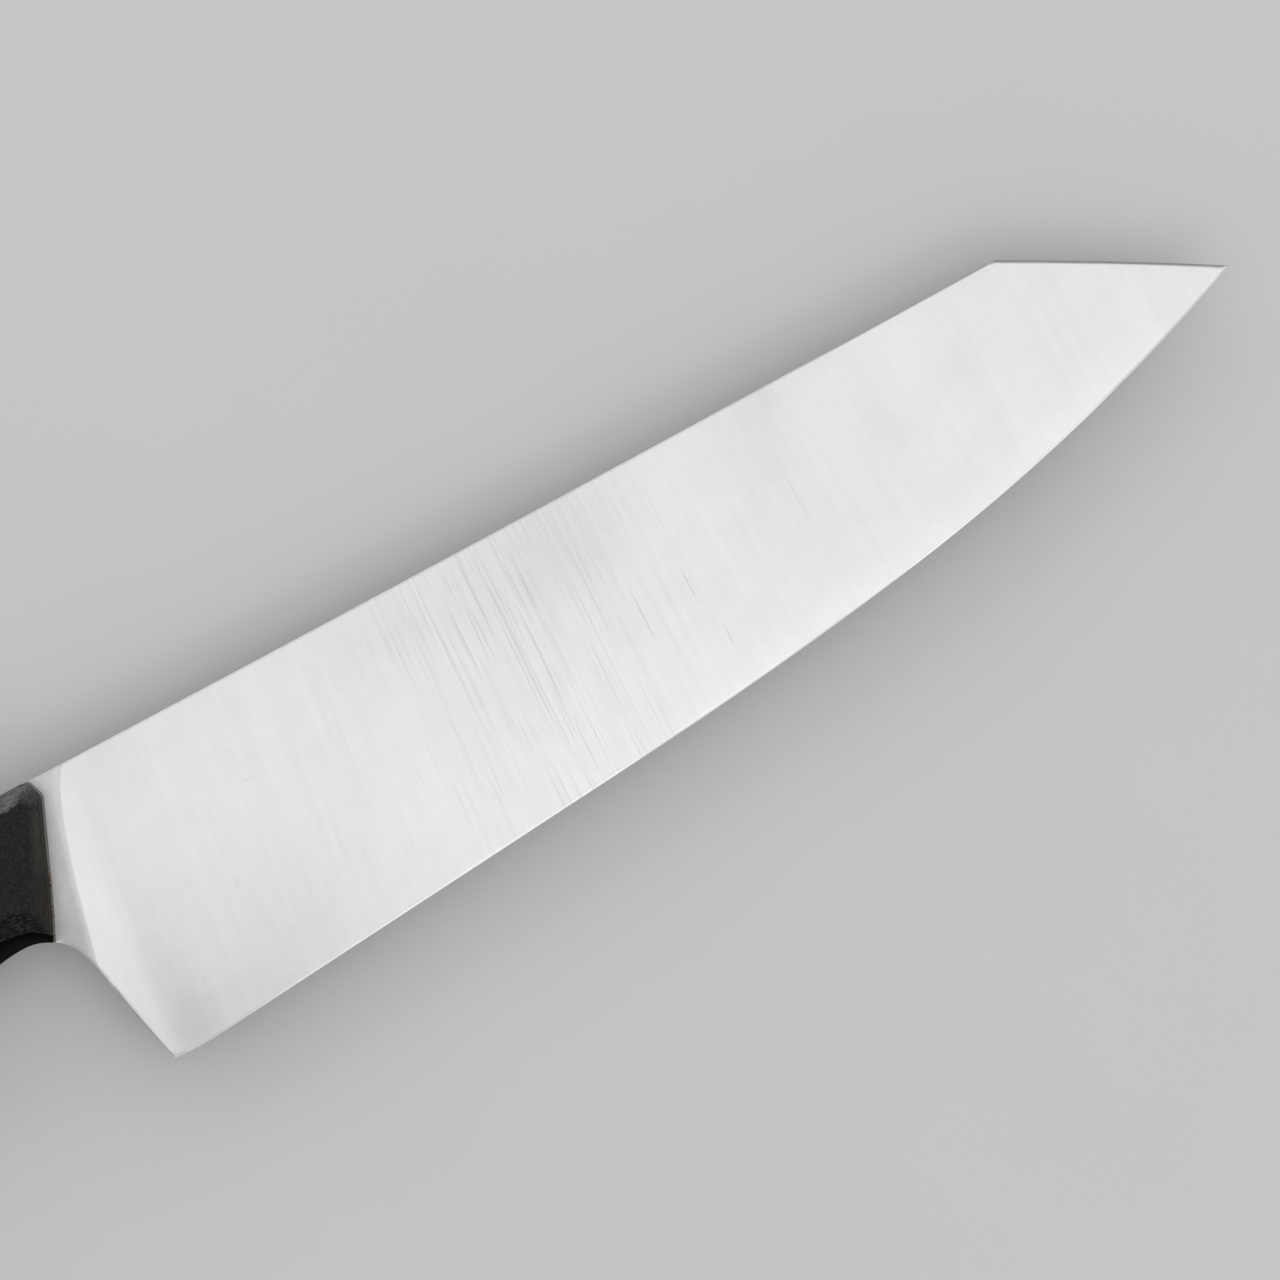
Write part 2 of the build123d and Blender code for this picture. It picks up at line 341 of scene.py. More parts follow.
# Single scratches on the blade: middle, half length, turn, half width and depth of tone
SCRATCHES = [
    ((31.4, -16.5), 2.3, 0, 0.17, 0.120),
    ((29.9, -10.3), 3.1, -42, 0.22, 0.045),
    ((21.9, -30.5), 1.7, 80, 0.18, 0.080),
    ((108.9, -22.5), 4.6, 89, 0.16, 0.170),
    ((100.0, -23.6), 6.6, 89, 0.16, 0.170),
    ((110.7, -33.1), 2.4, 88, 0.15, 0.190),
    ((90.2, -28.7), 10.0, 87.5, 0.15, 0.160),
    ((82.5, -22.0), 11.0, 87.5, 0.15, 0.160),
    ((130.9, -18.7), 8.6, 90, 0.30, 0.055),
    ((109.7, -9.0), 5.8, 89, 0.24, 0.070),
]

HEEL = np.array([-0.3, -HEEL_HEIGHT])
BUTT_TIP = np.array([BUTT[0] - BUTT[2], BUTT[1]])
CHOIL_FOOT = np.array([-4.0336, -33.4490])
FINGER_FOOT = np.array([-5.5915, -28.2481])
FINGER_TOP = np.array([-12.5, -23.5])
ARCH_END = np.array([-17.8510, -23.8478])
LOW_CORNER = (np.array([-129.577, -22.7861]), np.array([-122.455, -27.7329]))
HIGH_CORNER = (np.array([-128.753, -7.1468]), np.array([-121.417, -1.2242]))


def handle_top_curve():
    """The handle's top from the butt's rearmost point, round its corner, to the spine at X = 0."""
    bend = np.array(TOP_BEND[:2]) + [0, TOP_BEND[2]]
    return joined([
        on_circle(BUTT, BUTT_TIP, HIGH_CORNER[0], 60),
        on_circle(BUTT_HIGH, *HIGH_CORNER, 80),
        on_circle(TOP_BEND, HIGH_CORNER[1], bend, 200),
        on_line(bend, (0, 0), 400),
    ])


def handle_low_curve():
    """The handle's underside from the butt's rearmost point, round its corner, to the choil."""
    under = underside_curve(400)[::-1]
    under = under[under[:, 0] > LOW_CORNER[1][0]]
    return joined([
        on_circle(BUTT, BUTT_TIP, LOW_CORNER[0], 60),
        on_circle(BUTT_LOW, *LOW_CORNER, 80),
        under,
        on_circle(ARCH, ARCH_END, FINGER_TOP, 60),
        on_circle(FINGER, FINGER_TOP, FINGER_FOOT, 120),
    ])


def steel_top_curve():
    """Handle's top, hollow spine and clip, out to the tip."""
    share = np.linspace(0, 1, 800)
    hollow = -SPINE_HOLLOW * 4 * share * (1 - share)
    spine = np.column_stack([SPINE_LENGTH * share, hollow])
    corner = np.array([SPINE_LENGTH, 0.0])
    clip = on_line(corner, TIP, 400)
    way = (TIP - corner) / np.linalg.norm(TIP - corner)
    share = np.linspace(0, 1, 400)[:, None]
    clip = clip + CLIP_BULGE * 4 * share * (1 - share) * np.array([-way[1], way[0]])
    return joined([handle_top_curve(), spine, clip])


def steel_low_curve():
    """Handle's underside, rear edge of the heel and cutting edge, out to the tip."""
    return joined([
        handle_low_curve(),
        on_circle(CHOIL, FINGER_FOOT, CHOIL_FOOT, 200),
        on_circle(REAR, CHOIL_FOOT, HEEL, 300),
        on_circle(HEEL_ROUND, HEEL, FLAT_START, 80),
        on_line(FLAT_START, FLAT_END, 400),
        on_circle(BELLY_ROUND, FLAT_END, BELLY, 300),
        on_circle(TIP_ROUND, BELLY, TIP, 500),
    ])


def taper(u):
    """Half thickness of the grind at the spine: two parabolas, each with the slope that the last ends on."""
    def height(point):
        return point[0] - PLUNGE_SLOPE * point[1], EDGE_HALF - GRIND_FALL * point[1]
    middle, middle_height = height(BELLY)
    end, end_height = height(TIP)
    rear = GROUND_STOCK + (middle_height - GROUND_STOCK) * ((u - PLUNGE_FOOT) / (middle - PLUNGE_FOOT)) ** 2
    slope = 2 * (middle_height - GROUND_STOCK) / (middle - PLUNGE_FOOT)
    run = u - middle
    bend = (end_height - middle_height - slope * (end - middle)) / (end - middle) ** 2
    return np.where(u < middle, rear, middle_height + slope * run + bend * run * run)


def grind(x, y):
    """Half thickness that grinding leaves: the taper, the plunge's round corner, less the fall per depth."""
    u = x - PLUNGE_SLOPE * y
    short = np.clip(PLUNGE_FOOT - u, 0, PLUNGE_RADIUS)
    corner = GROUND_STOCK + PLUNGE_RADIUS - np.sqrt(PLUNGE_RADIUS ** 2 - short ** 2)
    return np.where(u < PLUNGE_FOOT, corner, taper(np.maximum(u, PLUNGE_FOOT))) + GRIND_FALL * y


def from_circle(x, y, circle):
    """Distance from a circle's centre, less its radius."""
    return np.hypot(x - circle[0], y - circle[1]) - circle[2]


def edge_inset(x, y):
    """Distance inwards from the cutting edge: to its line on the flat, and to its circles beyond."""
    way = (FLAT_END - FLAT_START) / np.linalg.norm(FLAT_END - FLAT_START)
    run = (x - FLAT_START[0]) * way[0] + (y - FLAT_START[1]) * way[1]
    straight = (y - FLAT_START[1]) * way[0] - (x - FLAT_START[0]) * way[1]
    past = (x - BELLY[0]) * (BELLY[1] - TIP_ROUND[1]) - (y - BELLY[1]) * (BELLY[0] - TIP_ROUND[0]) < 0
    front = -np.where(past, from_circle(x, y, TIP_ROUND), from_circle(x, y, BELLY_ROUND))
    rear = -from_circle(x, y, HEEL_ROUND)
    return np.where(run < 0, rear, np.where(run > np.linalg.norm(FLAT_END - FLAT_START), front, straight))


def rear_inset(x, y):
    """Distance inwards from the rear edge of the heel: a slight bow, then two circles above it."""
    return np.where(y < CHOIL_FOOT[1], -from_circle(x, y, REAR),
                    np.where(y < FINGER_FOOT[1], from_circle(x, y, CHOIL), from_circle(x, y, FINGER)))


def clip_inset(x, y):
    """Distance inwards from the clip."""
    way = (TIP - [SPINE_LENGTH, 0]) / np.hypot(BLADE_LENGTH - SPINE_LENGTH, TIP_DROP)
    run = (x - SPINE_LENGTH) * way[0] + y * way[1]
    share = np.clip(run / np.hypot(BLADE_LENGTH - SPINE_LENGTH, TIP_DROP), 0, 1)
    return (x - SPINE_LENGTH) * way[1] - y * way[0] + CLIP_BULGE * 4 * share * (1 - share)


def spine_inset(x, y):
    """Distance inwards from the spine."""
    share = np.clip(x / SPINE_LENGTH, 0, 1)
    return -y - SPINE_HOLLOW * 4 * share * (1 - share)


def rounding(inset, radius):
    """How far a rounded edge drops at a distance from the outline: a quarter circle."""
    short = np.clip(radius - inset, 0, radius)
    return radius - np.sqrt(np.maximum(radius ** 2 - short ** 2, 0))


def ramp(value, low, high):
    """Rises smoothly from 0 to 1 between two values."""
    t = np.clip((value - low) / (high - low), 0, 1)
    return t * t * (3 - 2 * t)


def steel_height(spots):
    """Half thickness of the steel: the lowest of stock, grind and bevel, less its rounded edges.

    The spine and clip are eased, and the rear edge of the heel is rounded for the finger. The
    easing fades out where the scales sit flush with the steel.
    """
    x, y = spots.T
    whole = np.minimum(HALF_STOCK, grind(x, y))
    bevel = EDGE_LAND + np.where(x > -3, edge_inset(x, y), 99) * BEVEL_SLOPE
    whole = np.minimum(whole, np.maximum(bevel, EDGE_LAND))
    rear = rear_inset(x, y)
    spine = SPINE_EASE * ramp(x, 0.2, 3.4) * (x < SPINE_LENGTH + 2)
    heel = HEEL_EASE * ramp(x, -8.6, -6.8) * (rear < 2) * (y < -15)
    clip = CLIP_EASE * ramp(x, SPINE_LENGTH - 2.5, SPINE_LENGTH + 1.5)
    limit = 0.85 * whole
    drop = np.maximum(rounding(spine_inset(x, y), np.minimum(spine, limit) + 1e-9),
                      rounding(clip_inset(x, y), np.minimum(clip, limit) + 1e-9))
    drop = np.maximum(drop, rounding(rear, np.minimum(heel, limit) + 1e-9))
    return np.maximum(whole - drop, EDGE_LAND)


def plunge_line(depth):
    """Where the grind leaves the flat of the steel, at a depth below the spine."""
    rise = PLUNGE_RADIUS - (HALF_STOCK - GROUND_STOCK) - GRIND_FALL * depth
    short = np.sqrt(PLUNGE_RADIUS ** 2 - rise ** 2)
    return PLUNGE_FOOT - short - PLUNGE_SLOPE * depth


def steel_places():
    """Side view of the steel as a grid whose columns swing from upright to the plunge's slant and back.

    A column is a straight line between matching points of the lower and the upper outline, bowed
    near the plunge so that one of them lies on the line where the grind begins. Rows crowd
    together near both outlines, at set distances from them.
    """
    top, low = steel_top_curve(), steel_low_curve()
    rear = low[(low[:, 1] < -26) & (low[:, 1] > -45) & (low[:, 0] < 0)]
    crease_low = rear[np.argmax(rear[:, 0] > plunge_line(-rear[:, 1]))]
    crease_top = np.array([float(plunge_line(np.array(0.3))), 0.0])
    marks = [
        (BUTT_TIP, BUTT_TIP, 22),
        (HIGH_CORNER[1], LOW_CORNER[1], 46),
        ((-71.5, 0), (-71.5, -26.2), 46),
        ((-22, 0), (-22, -25.2), 64),
        (crease_top, crease_low, 44),
        ((10.4, 0), HEEL, 18),
        ((17.5, 0), FLAT_START, 80),
        ((93, 0), FLAT_END, 48),
        ((141.5, 0), BELLY, 36),
        ((SPINE_LENGTH, 0), (175.4, -31.4), 60),
        (TIP, TIP, 0),
    ]
    counts = [mark[2] for mark in marks[:-1]]
    upper = along(top, [mark[0] for mark in marks], counts)
    lower = along(low, [mark[1] for mark in marks], counts)
    column = np.arange(len(upper))
    crease = sum(counts[:4])
    lower[crease] = crease_low
    upper[crease] = crease_top
    way = upper - lower
    length = np.maximum(np.linalg.norm(way, axis=1), 1e-9)

    def shares(line, insets):
        tangent = np.gradient(line, axis=0)
        tangent /= np.maximum(np.linalg.norm(tangent, axis=1), 1e-9)[:, None]
        across = np.abs(tangent[:, 0] * way[:, 1] - tangent[:, 1] * way[:, 0]) / length
        reach = np.minimum(insets[-1] / np.maximum(across * length, 1e-9), 0.4)
        return reach[:, None] * insets / insets[-1]

    from_low = shares(lower, np.array([0, 0.04, 0.1, 0.18, 0.345, 0.42, 0.56, 0.8, 1.2]))
    from_top = shares(upper, np.array([0, 0.02, 0.05, 0.1, 0.18, 0.3, 0.45, 0.6, 1.0]))
    inner = np.linspace(0, 1, 34)[1:-1]
    share = np.concatenate([
        from_low,
        from_low[:, -1:] + (1 - from_low[:, -1:] - from_top[:, -1:]) * inner,
        1 - from_top[:, ::-1],
    ], axis=1)
    places = lower[:, None] + way[:, None] * share[..., None]
    depth = -places[..., 1]
    straight = crease_top[0] + (crease_low[0] - crease_top[0]) * depth / -crease_low[1]
    bow = plunge_line(np.clip(depth, 0.3, -crease_low[1])) - straight
    fade = ramp(column, crease - 60, crease - 10) * (1 - ramp(column, crease + 8, crease + 52))
    ends = np.minimum(1, np.minimum(share, 1 - share) / 0.02)
    places[..., 0] += bow * fade[:, None] * ends
    return places


def patch(x, y, centre, reach, turn=0.0):
    """A soft oval patch: 1 in its middle, falling off like a bell."""
    cosine, sine = np.cos(radians(turn)), np.sin(radians(turn))
    dx, dy = x - centre[0], y - centre[1]
    return np.exp(-((dx * cosine + dy * sine) / reach[0]) ** 2 - ((dy * cosine - dx * sine) / reach[1]) ** 2)


def steel_tone_and_painted_shade(x, y):
    """Brightness painted onto the blade, as a share of its own, much of it painted reflection and shade.

    The hollow at the foot of the plunge is painted duller towards the edge, as painted shade, and the
    heel end is painted darker towards the edge; a strip along the front half of the edge is brighter,
    and soft lighter and darker patches lie between. The ricasso carries a painted reflection: brighter
    near the spine, darker lower down and near the handle, lighter towards the plunge.
    """
    past_foot = x - PLUNGE_SLOPE * y - PLUNGE_FOOT
    # Painted shade: a duller band in the hollow at the foot of the plunge, deeper towards the edge
    tone_and_painted_light = -0.085 * ramp(-y, 14, 48) * ramp(past_foot, -3.5, 0.5) * (1 - ramp(past_foot, 1.5, 9.0))
    # Painted shade: a darker patch at the heel's foot
    tone_and_painted_light = tone_and_painted_light - 0.07 * patch(x, y, (9, -48), (13, 7))
    tone_and_painted_light = tone_and_painted_light + 0.055 * (1 - ramp(edge_inset(x, y), 0.3, 6.5)) * ramp(x, 60, 105) * (1 - ramp(x, 186, 202))
    # Painted shade: the heel end of the blade darker towards the edge
    tone_and_painted_light = tone_and_painted_light - 0.13 * ramp(-y, 12, 50) * (1 - ramp(x, 18, 60))
    for centre, reach, turn, depth in BLADE_PATCHES:
        tone_and_painted_light = tone_and_painted_light + depth * patch(x, y, centre, reach, turn)
    # Painted reflection on the ricasso: brighter near the spine, darker lower down and near the handle,
    # lighter at the plunge
    ahead = (x - front_at(-y)[0]) / np.maximum(plunge_line(np.clip(-y, 0.3, 31)) - front_at(-y)[0], 0.5)
    flat = 0.18 * (1 - ramp(-y, 2, 14)) - 0.16 * ramp(-y, 17, 27) + 0.10 * (ramp(ahead, 0, 1) - 0.5)
    beyond = x - plunge_line(np.clip(-y, 0.3, HEEL_HEIGHT))
    flat = np.minimum(flat + 0.24 * ramp(beyond, -1.3, 0.1), 0.27)
    return np.where(beyond < 0.01, flat, tone_and_painted_light)


def rim_painted_light(x, y, z):
    """Painted light on the sharpened edge and on the eased spine, clip and heel, as a share of the
    steel's own brightness: painted shade on the edge bevel, deepest on its outer strip near the heel
    and in two stretches, where the bevel's top gets a painted highlight; painted shade along the eased
    spine, clip and lower rear edge of the heel; and a painted highlight along the finger notch.
    """
    whole = np.minimum(HALF_STOCK, grind(x, y))
    sharp = (x > -1) & (EDGE_LAND + edge_inset(x, y) * BEVEL_SLOPE < whole + 0.004)
    # Painted shade on the bevel's outer strip and a painted highlight at its top, in two stretches of the
    # edge; more painted shade near the heel
    shaded = ramp(x, 84, 94) * (1 - ramp(x, 134, 146)) + ramp(x, 178, 186)
    outer = -0.04 - 0.14 * (1 - ramp(x, 6, 24)) - 0.24 * shaded
    inner = outer - 0.02 + 0.34 * shaded
    # Painted shade along the eased clip, the spine (much more towards the tip) and the lower rear edge of the
    # heel
    clip = 0.58 * (1 - ramp(clip_inset(x, y), 0.34, 0.52)) * (x > SPINE_LENGTH - 1)
    spine = (0.06 + 0.42 * ramp(x, 136, 152)) * (1 - ramp(spine_inset(x, y), 0.12, 0.30)) * (x > 2)
    rear = 0.14 * (1 - ramp(rear_inset(x, y), 0.15, 0.45)) * (x < 2) * ramp(-y, 32, 35)
    # Painted highlight along the eased edge of the finger notch
    notch = 0.55 * (1 - ramp(rear_inset(x, y), 0.10, 0.30)) * (x < -3.5) * (y < -24)
    edge = outer + (inner - outer) * ramp(edge_inset(x, y), 0.20, 0.33)
    return np.where(sharp, edge, notch - np.maximum(np.maximum(clip, spine), rear))


def across_lines(x, depth):
    """Place across the grinding lines, which lean back at their feet, the more the nearer the handle."""
    lean = np.interp(x, (5, 30, 55, 80, 125), (-0.17, -0.15, -0.09, -0.042, 0.0))
    return x - lean * depth


def make_steel():
    """Blade and tang in one closed skin, alike on both faces, with the bolt holes in the tang.

    The skin's texture map runs across the grinding lines in one direction and along them in the
    other. Three values are kept at each point: how bright the steel is, with painted reflection and
    shade in it, whether it is ground, and how deep its grinding lines are.
    """
    places = steel_places()
    rings = [(SHANK_RADIUS + BOLT_GAP, HALF_STOCK), (SHANK_RADIUS + BOLT_GAP, -HALF_STOCK)]
    made = plate(
        "blade_and_tang", places, steel_height, lambda s: -steel_height(s),
        [(centre, rings) for centre in BOLTS], sharp_angle=8.0,
    )
    mesh = made.data
    x, y, z = own_places(mesh)
    ends = np.empty(len(mesh.edges) * 2, np.int32)
    mesh.edges.foreach_get("vertices", ends)
    crease = (np.abs(x - plunge_line(np.clip(-y, 0, HEEL_HEIGHT))) < 0.004) & (np.abs(z) > HALF_STOCK - 0.003)
    sharp = mesh.attributes["sharp_edge"]
    kept = np.empty(len(mesh.edges), bool)
    sharp.data.foreach_get("value", kept)
    sharp.data.foreach_set("value", kept | crease[ends.reshape(-1, 2)].all(1))
    corner = np.empty(len(mesh.loops), np.int32)
    mesh.loops.foreach_get("vertex_index", corner)
    lines = mesh.uv_layers.new(name="grinding_lines")
    lines.data.foreach_set("uv", (np.column_stack([across_lines(x, -y), -y])[corner] * 0.001).ravel())
    # The kept brightness holds painted reflection, shade and highlights of the blade and its edges, with its
    # soft patches
    keep(mesh, "tone_and_painted_light", steel_tone_and_painted_shade(x, y) * (x > -9) + rim_painted_light(x, y, z))
    keep(mesh, "ground", ramp(HALF_STOCK - grind(x, y), 0.0, 0.02))
    lined = 0.12 + 0.18 * ramp(x, 18, 48) * (1 - ramp(x, 100, 122)) + 0.70 * np.exp(-((x - 80) / 19) ** 2)
    keep(mesh, "lined", lined)
    return made


# Scales and liners

def front_inset(x, y):
    """Distance behind the scales' slanted front line, whose lower half stands a little ahead."""
    return (front_at(-y)[0] - x) / np.hypot(1, FRONT_LEAN)


def corner_inset(x, y):
    """Distance behind the line that cuts off the scales' top front corner."""
    start, end = np.array([-CORNER_BACK, 0.0]), front_at(CORNER_DROP)
    way = (end - start) / np.linalg.norm(end - start)
    return (x - start[0]) * way[1] - (y - start[1]) * way[0]


def butt_inset(x, y):
    """Distance inwards from the butt's circle, of which only the rear part counts."""
    return np.where(x < BUTT[0] - 15, -from_circle(x, y, BUTT), 99)


def front_at(depth, ahead=0.0):
    """Point at a depth on the scales' front line, or on a line further ahead."""
    step = ahead + FRONT_AHEAD * ramp(depth, 9, 17) - FRONT_BACK * ramp(depth, 20, 25)
    return np.array([FRONT_FOOT[0] + step - (FRONT_FOOT[1] + depth) * FRONT_LEAN, -depth])


def eased_corner(before, corner, after, radius, count=24):
    """A round bend of the given radius in place of the corner between two straight runs."""
    corner = np.asarray(corner, float)
    back, on = (np.asarray(p, float) - corner for p in (before, after))
    back, on = back / np.linalg.norm(back), on / np.linalg.norm(on)
    half = np.arccos(back @ on) / 2
    middle = (back + on) / np.linalg.norm(back + on) * radius / np.sin(half) + corner
    reach = radius / np.tan(half)
    return on_circle((*middle, radius), corner + reach * back, corner + reach * on, count)


def handle_places(ahead, columns, rows):
    """Side view of a scale as a grid between two poles: the butt's rearmost point and mid-front.

    The upper outline runs over the top, down the cut-off corner and down the front line, the lower
    one along the underside and up the front line. Columns are straight lines between matching
    points of the two.
    """
    corner_top, corner_end = np.array([ahead - CORNER_BACK, 0.0]), front_at(CORNER_DROP, ahead)
    upper_bend = eased_corner((-20, 0), corner_top, corner_end, 0.8)
    lower_bend = eased_corner(corner_top, corner_end, front_at(8, ahead), 1.6)
    start, end = upper_bend[0], lower_bend[-1]
    low = handle_low_curve()
    inside = front_inset(low[:, 0], low[:, 1]) + ahead / np.hypot(1, FRONT_LEAN) > 0
    low = low[inside]
    bottom = front_at(-low[-1, 1], ahead)
    middle = front_at(FRONT_MIDDLE, ahead)
    down = front_at(np.linspace(-end[1], FRONT_MIDDLE, 101), ahead).T
    up = front_at(np.linspace(-low[-1, 1], FRONT_MIDDLE, 101), ahead).T
    top = handle_top_curve()
    top = top[top[:, 0] < start[0]]
    upper = joined([top, upper_bend, on_line(upper_bend[-1], lower_bend[0], 60), lower_bend, down])
    lower = joined([low, up])
    marks = [
        (BUTT_TIP, BUTT_TIP, 0.07),
        (HIGH_CORNER[1], LOW_CORNER[1], 0.32),
        ((-71.5, 0), (-71.5, -26.2), 0.32),
        ((-22, 0), (-22, -25.2), 0.12),
        (start, (-12.9, -23.5), 0.07),
        (end, bottom, 0.10),
        (middle, middle, 0),
    ]
    counts = [max(int(mark[2] * columns), 4) for mark in marks[:-1]]
    upper = along(upper, [mark[0] for mark in marks], counts)
    lower = along(lower, [mark[1] for mark in marks], counts)
    share = np.linspace(0, 1, rows)
    share = share + 0.09 * np.sin(2 * np.pi * share) * -1
    return lower[:, None] + (upper - lower)[:, None] * share[:, None]


def soft_least(a, b, soft):
    """The lesser of two heights, with their crease rounded over a height difference of soft."""
    near = np.maximum(soft - np.abs(a - b), 0) / soft
    return np.minimum(a, b) - near * near * soft * 0.25


def waver(along_way, seed, lengths=(2.3, 5.1, 11.7)):
    """A hand-worked unevenness of about -1 to 1: a sum of sines of unlike lengths."""
    total = 0
    for k, length in enumerate(lengths):
        total = total + np.sin(2 * np.pi * along_way / length + seed * (k + 1.7)) / (1.5 + k * 0.2)
    return total / 1.6


def underside_depth(x):
    """Depth of the handle's underside, of its notch and of the heel's rear edge, by X."""
    under = underside_curve(300)[::-1]
    tail = under[0] + (under[0] - under[1]) / np.linalg.norm(under[0] - under[1]) * 4
    line = joined([
        [tail], under,
        on_circle(ARCH, ARCH_END, FINGER_TOP, 40),
        on_circle(FINGER, FINGER_TOP, FINGER_FOOT, 60),
        on_circle(CHOIL, FINGER_FOOT, CHOIL_FOOT, 60),
        on_circle(REAR, CHOIL_FOOT, HEEL, 20),
        on_line(HEEL, HEEL + [9, 0], 4),
    ])
    return -np.interp(x, line[:, 0], line[:, 1])


def facet_heights(x, y, side=1):
    """Heights of a scale's flat side and of its facets, and the distance inwards from its outline.

    Each facet rises in proportion to the distance from its own outline: the top, the cut-off
    corner, the front line, the butt, and two slopes from the underside. Their feet waver a
    little, as hand-sanded ones do, differently on the two sides. The front one is narrower in
    its upper half, and the lowest one narrows towards the front.
    """
    top = np.where(x < TOP_BEND[0], -from_circle(x, y, TOP_BEND), -y)
    front, corner, end = front_inset(x, y), corner_inset(x, y), butt_inset(x, y)
    rise = underside_depth(x) + y
    foot = HALF_HANDLE - TOP_FACET
    narrow = 0.97 * (1 - ramp(-y, 9, 19))
    low_foot = HALF_HANDLE - LOWER_FACET * LOWER_SLOPE
    under_foot = low_foot - UNDER_HEIGHT * (1.1 - 0.55 * ramp(x, -16, -4))
    heights = {
        "top": foot + top + 0.16 * waver(x + side * 3.1, 1.3) * (front > 3),
        "corner": foot + corner,
        "front": foot + narrow + front + 0.05 * waver(y * 1.7, 4.1),
        "butt": HALF_HANDLE - BUTT_FACET + end + 0.08 * waver(y, 2.2 + side),
        "lower": low_foot + rise * LOWER_SLOPE + 0.10 * waver(x - side * 5.0, 0.4),
        "under": under_foot + rise * UNDER_SLOPE + 0.07 * waver(x, 3.3 + side),
    }
    hollow = 0.012 * (1 + waver(x * 0.6 + y * 0.9, 5.0 + side)) * ramp(np.minimum(top, rise), 2, 6)
    inset = np.minimum(np.minimum(np.minimum(top, corner), front), np.minimum(rise, end))
    return HALF_HANDLE - hollow, heights, inset


def scale_height(spots, side=1):
    """Height of a scale's outer face: the least of its flat side and its facets, softly blended."""
    height, heights, inset = facet_heights(*spots.T, side)
    for name, soft in FACET_SOFTNESS.items():
        height = soft_least(height, heights[name], soft)
    return np.minimum(height - rounding(np.maximum(inset, 0), SCALE_EASE), HALF_HANDLE)


def mirrored(height):
    """The same heights measured down from the middle of the steel."""
    return lambda spots: -height(spots)


def make_handle():
    """Both scales and both liners, each with its three bolt holes."""
    made = {}
    places = handle_places(0.0, 430, 84)
    sheet = handle_places(LINER_SHOWS, 240, 26)
    head, shank = HEAD_RADIUS + BOLT_GAP, SHANK_RADIUS + BOLT_GAP
    seat = HALF_HANDLE - HEAD_DEPTH
    for side, name in ((1, "right"), (-1, "left")):
        face, inner = (lambda s, k=side: scale_height(s, k)), (lambda s: np.full(len(s), LINER_FACE))
        outer_liner, steel_face = inner, (lambda s: np.full(len(s), HALF_STOCK))
        rings = [(head, HALF_HANDLE), (head, seat), (shank, seat), (shank, LINER_FACE)]
        liner_rings = [(shank, LINER_FACE), (shank, HALF_STOCK)]
        if side < 0:
            face, inner = mirrored(inner), mirrored(face)
            outer_liner, steel_face = mirrored(steel_face), mirrored(outer_liner)
            rings = [(r, -h) for r, h in rings[::-1]]
            liner_rings = [(r, -h) for r, h in liner_rings[::-1]]
        made[f"{name}_scale"] = plate(
            f"{name}_laminate_scale", places, face, inner,
            [(centre, rings) for centre in BOLTS], sharp_angle=50.0,
        )
        made[f"{name}_liner"] = plate(
            f"{name}_fibre_liner", sheet, outer_liner, steel_face,
            [(centre, liner_rings) for centre in BOLTS], sharp_angle=50.0,
        )
    return made


def make_bolts():
    """Three two-part bolts: a headed barrel from the right with a blind bore, a headed stud from the left."""
    seat = HALF_HANDLE - HEAD_DEPTH
    bore = STUD_RADIUS + BOLT_GAP
    crown = (HEAD_RADIUS - HEAD_EASE, HALF_HANDLE - HEAD_CROWN)
    head = [(HEAD_RADIUS, HALF_HANDLE - HEAD_EASE), crown, (0, HALF_HANDLE)]
    barrel = [(0, seat), (bore, seat), (bore, END_GAP - seat), (SHANK_RADIUS, END_GAP - seat),
              (SHANK_RADIUS, seat), (HEAD_RADIUS, seat)] + head
    screw = [(r, -h) for r, h in head[::-1]] + [(HEAD_RADIUS, -seat), (STUD_RADIUS, -seat),
             (STUD_RADIUS, seat - END_GAP - STUD_EASE),
             (STUD_RADIUS - STUD_EASE, seat - END_GAP), (0, seat - END_GAP)]
    made = {}
    for where, centre in zip(("front", "middle", "rear"), BOLTS):
        made[f"{where}_bolt_barrel"] = turned(f"{where}_barrel", barrel, centre)
        made[f"{where}_bolt_screw"] = turned(f"{where}_screw", screw, centre)
    return made


# Materials

# The range that most of a noise's values lie in
NOISE_LOW, NOISE_HIGH = 0.3, 0.7

GRINDING_LINES = "grinding_lines"


